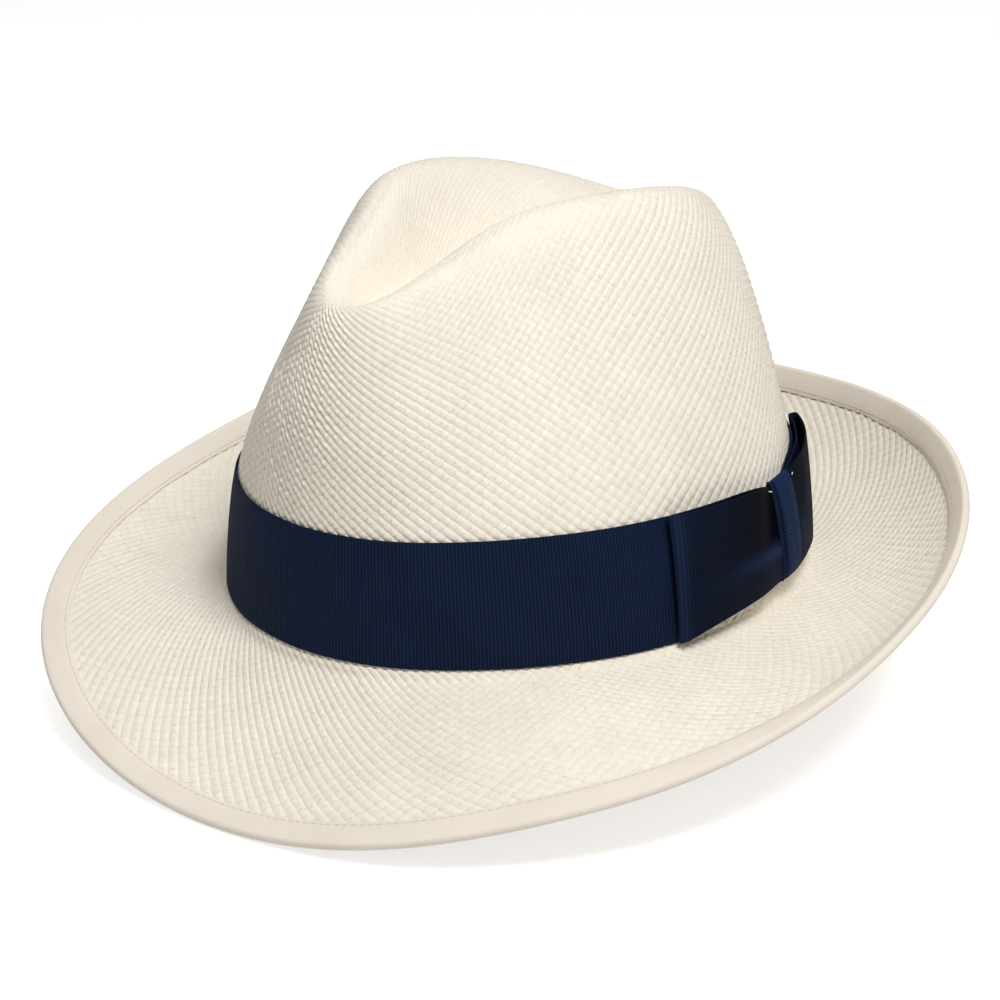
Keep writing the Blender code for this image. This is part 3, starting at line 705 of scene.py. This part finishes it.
def makeBand():
    # the ribbon's section carried round the wall, at even steps of its own length
    gap = layers["gap"] / 2 * bowStep
    t0 = np.radians(ribbon["bowAngle"])
    probe = np.linspace(t0 + gap, t0 + turn - gap, band["steps"])
    track = onWall(probe, ribbonHeight(probe, 0.5), bandOut)
    run = np.concatenate([[0], np.cumsum(np.linalg.norm(np.diff(track, axis=0), axis=-1))])
    q, wave = ribLine(run[-1])
    t = np.interp(q, run, probe)[:, None]
    share = edgedRows(0, 1, *grosgrain["edgeRows"], band["rows"])
    away = wrapped(t - t0) / bowStep
    length = np.where(away < 0, bow["frontLength"], bow["rearLength"])
    drawn = gathered(away, share, length, bow["foot"] + band["footExtra"], bow["top"] + band["topExtra"])
    height = ribbonHeight(t, drawn) - band["lower"]
    slack = 0.10 * np.sin(9 * t + 5 * share) + 0.08 * np.sin(17 * t + 2)  # the ribbon isn't drawn dead flat
    rib = grosgrain["ribHeight"] * wave[:, None]
    half = layers["ribbon"] / 2 * slimmed(share, band["selvedgeThin"])
    middle = layers["gap"] + layers["ribbon"] / 2 + np.maximum(slack, -band["slackIn"])
    front = onWall(t, height, middle + half + rib)
    back = onWall(t, height, middle - half)
    points = bothSides(front, back)
    rise = np.broadcast_to(wave[None, :, None], points.shape[:3])
    # the rib heights also set the painted highlight on the rib tops in the ribbon's material
    piece = loft("ribbon_band", points, navy, ["hat_band"], sharpFrom=75,
                 attributes=dict(rib=rise))


makeBand()


def makeLoop(name, stands, length, puff, side, pleated):
    # ribbon out along the band, round a fold and back; the front layer swells between fold and knot, leans
    # out at the top, and has a pleat at the knot whose lower half stands proud of its upper half; the fold
    # and the pleat's ridge get a painted highlight, and the hollow over the ridge and the rest get painted
    # shade
    fold = bow["foldRadius"]
    whole = 2 * length + np.pi * fold
    q, wave = ribLine(whole)
    q = q[:, None]
    angle = np.clip((q - length) / fold, 0, np.pi)
    share = edgedRows(0, 1, *grosgrain["edgeRows"], bow["rows"]) + 0 * q
    returned = np.where(angle < np.pi, length + fold * np.sin(angle), whole - q)
    along = np.maximum(np.where(q < length, q, returned) + 0 * share, layers["gap"] / 2)
    rise = (1 - np.cos(angle)) / 2
    past = np.clip(along - bow["knotWidth"] / 2, 0, None)
    free = np.clip(past / (length - bow["knotWidth"] / 2), 0, 1)
    height = gathered(along, share, length, bow["foot"], bow["top"])
    swell = puff * np.sin(np.pi * free) ** bow["puffPower"]
    near = hump(past, 0, bow["pleatReach"]) * pleated
    step = np.tanh((bow["pleatAt"] - share) / bow["pleatSharp"])
    lower = np.sin(np.pi / 2 * np.clip(share / bow["pleatAt"], 0, 1))
    upper = 1 - np.clip((share - bow["pleatAt"]) / (1 - bow["pleatAt"]), 0, 1) ** 2
    pleat = bow["pleatLift"] * (1 + step) / 2 * lower - bow["pleatSink"] * (1 - step) / 2 * upper
    front = (1 - near) * swell + near * np.clip(past / bow["pleatStart"], 0, 1) * pleat
    lean = (1 + bow["flareFoot"]) * share - bow["flareFoot"]
    flare = bow["flare"] * lean * np.clip(past / bow["flareReach"], 0, 1)
    out = loopBack + layers["ribbon"] / 2 + rise * (loopFront - loopBack + front + flare)
    # painted light: a painted highlight on the fold and the ridge, painted shade in the hollow and elsewhere
    fading = hump(past, 0, bow["hollowReach"])
    hollow = fading * (1 - step) / 2
    ridge = fading * hump(share, bow["pleatAt"] - bow["ridgeBelow"], bow["ridgeSpread"])
    pressed = hump(along, length, bow["foldSpread"])
    paintedLight = rise * pleated * (bow["ridgeHighlight"] * ridge + bow["foldHighlight"] * pressed - hollow)
    paintedLight -= bow["paintedShade"] * (1 - pressed) * (1 - ridge)
    ribs = wave[:, None] * (bow["softRib"] + (1 - bow["softRib"]) * np.clip(pressed + ridge, 0, 1))
    points = clothPoints(lambda a, h, o: bowPoint(side * a, h, o), along, height, out,
                         layers["ribbon"] / 2, grosgrain["ribHeight"] * ribs)
    # rib heights and painted light go to the ribbon's material as attributes
    piece = loft(name, points, navy, [stands], sharpFrom=75,
                 attributes=dict(rib=bothSides(ribs, ribs), paintedLight=bothSides(paintedLight, paintedLight)))


# knot: how far it stays inside the ribbon's foot and top, its creases, its painted highlight, and the raised
# edge, the groove and the painted shade along each side, as places and spreads in shares of its half width
knot = dict(foot=5.6, top=1.8, squareness=3.2, steps=1441, rows=31, crease=0.12, crown=1.2, waver=0.03,
            edge=0.25, edgeAt=(0.95, 0.05), groove=0.35, grooveAt=(0.82, 0.06), paintedLight=0.6, paintedSideShade=0.8,
            paintedSideShadeAt=(0.86, 0.1), edgeRows=(0.03, 0.07))


def makeKnot():
    # ribbon in a rounded loop about both bow loops, creased lengthwise, with its ribs running across the hat
    deepHalf = (knotFront + layers["ribbon"] - knotBack) / 2
    middle = knotBack + deepHalf
    centre = 0.5 + (knot["foot"] - knot["top"]) / 2 / ribbon["width"]
    tall = 0.5 - (knot["foot"] + knot["top"]) / 2 / ribbon["width"]
    probe = np.linspace(0, turn, knot["steps"])

    def track(a, inset):
        # superellipse in height and depth
        power = 2 / knot["squareness"]
        high = np.sign(np.sin(a)) * np.abs(np.sin(a)) ** power
        far = np.sign(np.cos(a)) * np.abs(np.cos(a)) ** power
        return centre + high * (tall - inset / ribbon["width"]), middle + far * (deepHalf - inset)

    h, o = track(probe, 0.0)
    run = np.concatenate([[0], np.cumsum(np.hypot(np.diff(h) * ribbon["width"], np.diff(o)))])
    q, wave = ribLine(run[-1])
    a = np.interp(q[:-1], run, probe)[:, None]
    wave = wave[:-1, None]
    x = edgedRows(-1, 1, *knot["edgeRows"], knot["rows"]) + 0 * a
    aside = np.abs(x)
    folds = knot["crease"] * (np.cos(3.0 * x + 0.6) + 0.6 * np.sin(7.0 * x + 2 * np.sin(a)))
    selvedge = knot["edge"] * hump(aside, *knot["edgeAt"]) - knot["groove"] * hump(aside, *knot["grooveAt"])
    crowned = knot["crown"] * (1 - x ** 4)
    # painted light: the knot's face gets a painted highlight, with a line of painted shade along each side
    # by the groove
    paintedLight = knot["paintedLight"] - (knot["paintedLight"] + knot["paintedSideShade"]) * hump(aside, *knot["paintedSideShadeAt"])
    push = np.clip(np.cos(a), 0, 1) * (folds + crowned) + selvedge + grosgrain["ribHeight"] * wave
    half = bow["knotWidth"] / 2 * (1 + knot["waver"] * np.sin(2 * a))
    outerH, outerO = track(a, 0.0)
    innerH, innerO = track(a, layers["ribbon"])
    sideways = np.sign(outerO - middle) * np.abs(np.cos(a))
    face = bowPoint(x * half, outerH + push * np.sin(a) / ribbon["width"], outerO + push * sideways)
    rear = bowPoint(x * half, innerH + 0 * x, innerO + 0 * x)
    points = bothSides(face, rear)
    high = np.broadcast_to(wave[None, :, :], points.shape[:3])
    piece = loft("bow_knot_wrap", points, navy, ["bow_knot"], closedRows=True, sharpFrom=75,
                 attributes=dict(rib=high, paintedLight=bothSides(paintedLight, paintedLight)))


makeLoop("bow_loop_front", "bow_front_loop", bow["frontLength"], bow["frontPuff"], side=-1, pleated=1.0)
makeLoop("bow_loop_rear", "bow_rear_loop", bow["rearLength"], bow["rearPuff"], side=1, pleated=0.3)
makeKnot()

# white tacking stitches that hold the bow's top corners
tack = dict(length=2.2, clear=0.2, below=0.8, drop=0.8, arch=0.5, radius=0.18, rows=12, sides=8)


def tubePoints(path, radius, sides, closed):
    # round tube: a circle set square to the path at each of its points
    along = unit(np.roll(path, -1, 0) - np.roll(path, 1, 0) if closed else np.gradient(path, axis=0))
    side = unit(np.cross(along, (0.0, 0.0, 1.0)))
    over = np.cross(side, along)
    a = circle(sides)[None, :, None]
    return (path[:, None] + radius * (np.cos(a) * side[:, None] + np.sin(a) * over[:, None]))[None]


def makeTacks():
    # an arched stitch from the loop's face to the knot's edge, close under the bow's top
    white = threadMaterial("whiteTackingThread", "#f0ece4", "#d9d4ca")
    f = np.linspace(0, 1, tack["rows"])
    for name, side in (("front_loop_tack", -1), ("rear_loop_tack", 1)):
        along = bow["knotWidth"] / 2 + tack["length"] * (1 - f) + tack["clear"]
        share = 1 - (bow["top"] + tack["below"] + tack["drop"] * f) / ribbon["width"]
        out = loopFront + layers["ribbon"] + tack["arch"] * np.sin(np.pi * f)
        points = tubePoints(bowPoint(side * along, share, out), tack["radius"], tack["sides"], False)
        loft(name + "_stitch", points, white, [name], sharpFrom=80)


makeTacks()

# sweatband: tan leather inside the head opening, with its reed and sewing; each rolled line near its top has
# a depth, a height and a spread
sweatband = dict(width=32.0, rows=31, ringSteps=420, edge=0.2, edgeThin=0.25, slack=0.12,
                 rolls=((0.16, 29.5, 0.5), (0.10, 28.0, 0.4)), reed=0.8, reedSides=10, seamRise=2.5,
                 stitchCount=180, stitchShare=0.7, stitchUp=0.12, thread=0.2, edgeRows=(0.3, 1.0))
# the leather's outer and inner faces, as distances out from the wall
leatherOut = -(layers["straw"] + layers["gap"])
leatherIn = leatherOut - layers["leather"]


def leatherMaterial():
    # Roan sheepskin, dyed tan and rolled: fine pebbled grain, satin, with cloudy dye.
    made, tree, shader = newMaterial("tanRoanLeather", {"Roughness": 0.45, "IOR": 1.5,
                                                        "Specular IOR Level": 0.45})
    spot = node(tree, "TexCoord")
    # grain cells are about 0.8 mm across, clouds of dye about 25 mm
    grain = node(tree, "TexVoronoi", {"feature": "DISTANCE_TO_EDGE"}, {"Scale": 1250.0},
                 {"Vector": spot.outputs["Object"]})
    mixed, cloud = drifting(tree, 40.0, 4.0, "#9c6f47", "#a97b52")
    rough = remapped(tree, cloud, (0.0, 1.0), (0.4, 0.55))
    tree.links.new(rough, shader.inputs["Roughness"])
    dress(tree, shader, mixed, grain.outputs["Distance"], strength=0.3, depth=0.15)
    return made


def reedMaterial():
    # Drawn clear plastic reed, gone a little milky: smooth, pale, its tone drifting every 8 mm or so.
    made, tree, shader = newMaterial("milkyPlasticReed", {"Roughness": 0.35, "IOR": 1.49})
    dress(tree, shader, drifting(tree, 120.0, 2.0, "#d3cab8", "#c2b79f")[0])
    return made


def leatherHeight(t, rise):
    # height of a line on the leather, counted up from its lower edge, which stands on the reed
    return breakHeight(t) + 2 * layers["gap"] + 2 * sweatband["reed"] + rise


def makeSweatband():
    # a thin section carried round inside the wall, its face eased as a sine and rolled in near the top
    wide = sweatband["width"]
    ring = circle(sweatband["ringSteps"])
    reedHeight = breakHeight(ring) + layers["gap"] + sweatband["reed"]
    reedPath = onWall(ring, reedHeight, leatherOut - sweatband["reed"])
    points = tubePoints(reedPath, sweatband["reed"], sweatband["reedSides"], True)
    loft("sweatband_reed_line", points, reedMaterial(), ["sweatband_reed"], closedRows=True,
         sharpFrom=80)

    halfGap = layers["gap"] / 2 / baseSide
    t = np.linspace(halfGap - np.pi, np.pi - halfGap, sweatband["ringSteps"])[:, None]
    rise = edgedRows(0, wide, *sweatband["edgeRows"], sweatband["rows"])
    thin = np.where(np.minimum(rise, wide - rise) < sweatband["edge"], sweatband["edgeThin"], 0.0)
    rolled = sum(deep * hump(rise, at, spread) for deep, at, spread in sweatband["rolls"])
    slack = sweatband["slack"] * np.sin(11 * t + 0.1 * rise) * np.sin(np.pi * rise / wide)
    face = onWall(t, leatherHeight(t, rise), leatherIn + thin + rolled - np.clip(slack, 0, None))
    rear = onWall(t, leatherHeight(t, rise), leatherOut - thin + 0 * t)
    points = bothSides(face, rear)
    piece = loft("sweatband_leather_strip", points, leatherMaterial(), ["sweatband"],
                 sharpFrom=75)
    points = stitchPoints(lambda a, o: onWall(a, leatherHeight(a, sweatband["seamRise"]), leatherIn - o),
                          sweatband["stitchCount"], sweatband["stitchShare"], sweatband["stitchUp"],
                          sweatband["thread"])
    loft("sweatband_stitches", points, thread, ["sweatband_thread"], sharpFrom=80)


makeSweatband()

# joint cover: a patch of the binding's tape over the leather's joint at the back
cover = dict(width=14.0, inset=5.0, steps=33, rows=24, edgeRows=(0.2, 0.8), puff=0.15, puffReach=0.5,
             rim=0.12, rimAt=1.6, rimSpread=0.5)


def makeCover():
    # its face rises from the rim as an exponential, with a Gauss ridge that runs round inside the rim
    half = cover["width"] / 2 / baseSide
    t = np.pi + np.linspace(-half, half, cover["steps"])[:, None]
    low, high = cover["inset"], sweatband["width"] - cover["inset"]
    rise = edgedRows(low, high, *cover["edgeRows"], cover["rows"])
    rim = np.minimum(np.minimum(rise - low, high - rise), np.abs(np.abs(t - np.pi) - half) * baseSide)
    puff = cover["puff"] * (1 - np.exp(-rim / cover["puffReach"]))
    puff += cover["rim"] * hump(rim, cover["rimAt"], cover["rimSpread"])
    base = leatherIn - layers["gap"]
    face = onWall(t, leatherHeight(t, rise), base - layers["tape"] - puff)
    rear = onWall(t, leatherHeight(t, rise), base + 0 * rim)
    points = bothSides(face, rear)
    piece = loft("sweatband_joint_cover", points, tape, ["sweatband_seam_cover"],
                 sharpFrom=75)


makeCover()

# studio: pale floor, camera at the photograph's angle, a soft lamp before the hat and a broad one over it. A
# lamp has its place to the camera's right, towards the camera and up, its size and its power; those lengths,
# the floor's size and the height the lamps aim at are in metres
studio = dict(azimuth=37.71, elevation=19.21, roll=-0.24, distance=795.5, aside=-7.64, aim=19.12, lens=88.44,
              sensor=36.0, floorGap=0.4, floorSize=5.0, floorGlow=0.7, worldLight=0.17, lampAim=0.05,
              lamps=dict(key=(0.36, 0.72, 1.3, 0.5, 16.6), overhead=(-0.35, -0.15, 1.45, 1.2, 5.2)))


def seenBy(tree, ray):
    # 1 for what the camera sees straight or by that kind of ray, else 0
    path = node(tree, "LightPath")
    return node(tree, "Math", {"operation": "MAXIMUM"},
                links={0: path.outputs["Is Camera Ray"], 1: path.outputs[ray]}).outputs[0]


def makeStudio():
    # the camera stands back from its aim along the bearing and tilt, and is rolled about that line
    bearing, tilt, roll = (np.radians(studio[k]) for k in ("azimuth", "elevation", "roll"))
    right = Vector((np.cos(bearing), np.sin(bearing), 0))
    back = Vector((np.sin(bearing) * np.cos(tilt), -np.cos(bearing) * np.cos(tilt), np.sin(tilt)))
    up = back.cross(right)
    place = right * studio["aside"] + Vector((0, 0, studio["aim"])) + back * studio["distance"]
    across = right * np.cos(roll) + up * np.sin(roll)
    upward = up * np.cos(roll) - right * np.sin(roll)
    camera = placed("camera", bpy.data.cameras.new("camera"))
    camera.data.lens = studio["lens"]
    camera.data.sensor_width = studio["sensor"]
    camera.data.clip_start = 0.01
    axes = Matrix((across, upward, back)).transposed().to_4x4()
    axes.translation = place * mm
    camera.matrix_world = axes
    bpy.context.scene.camera = camera

    half = studio["floorSize"] / 2
    level = cadBox[0][2] - studio["floorGap"] * mm
    corners = [(x * half, y * half, level) for x, y in ((-1, -1), (1, -1), (1, 1), (-1, 1))]
    mesh = bpy.data.meshes.new("floor")
    mesh.from_pydata(corners, [], [(0, 1, 2, 3)])
    floor = placed("floor", mesh)
    # painted white board; its own glow to the camera lifts it to paper white and leaves the shadow
    made, tree, shader = newMaterial("whiteStudioBoard", {"Roughness": 0.9, "Specular IOR Level": 0.1})
    shader.inputs["Base Color"].default_value = linear("#f2f1ee")
    glow = node(tree, "Math", {"operation": "MULTIPLY"}, {1: studio["floorGlow"]},
                {0: seenBy(tree, "Is Glossy Ray")})
    shader.inputs["Emission Color"].default_value = (1, 1, 1, 1)
    tree.links.new(glow.outputs[0], shader.inputs["Emission Strength"])
    mesh.materials.append(made)

    forward = Vector((back.x, back.y, 0)).normalized()
    for name, (sideways, ahead, above, size, power) in studio["lamps"].items():
        lamp = placed(name, bpy.data.lights.new(name, "AREA"))
        lamp.data.size = size
        lamp.data.energy = power
        lamp.location = right * sideways + forward * ahead + Vector((0, 0, above))
        toHat = Vector((0, 0, studio["lampAim"])) - lamp.location
        lamp.rotation_euler = toHat.to_track_quat("-Z", "Y").to_euler()

    world = bpy.data.worlds.new("studio")
    bpy.context.scene.world = world
    world.use_nodes = True
    tree = world.node_tree
    strength = remapped(tree, seenBy(tree, "Is Transmission Ray"), (0.0, 1.0), (studio["worldLight"], 1.0))
    sky = tree.nodes["Background"]
    sky.inputs["Color"].default_value = (1, 1, 1, 1)
    tree.links.new(strength, sky.inputs["Strength"])
    bpy.context.scene.view_settings.view_transform = "Standard"
    print("studio ready")


makeStudio()
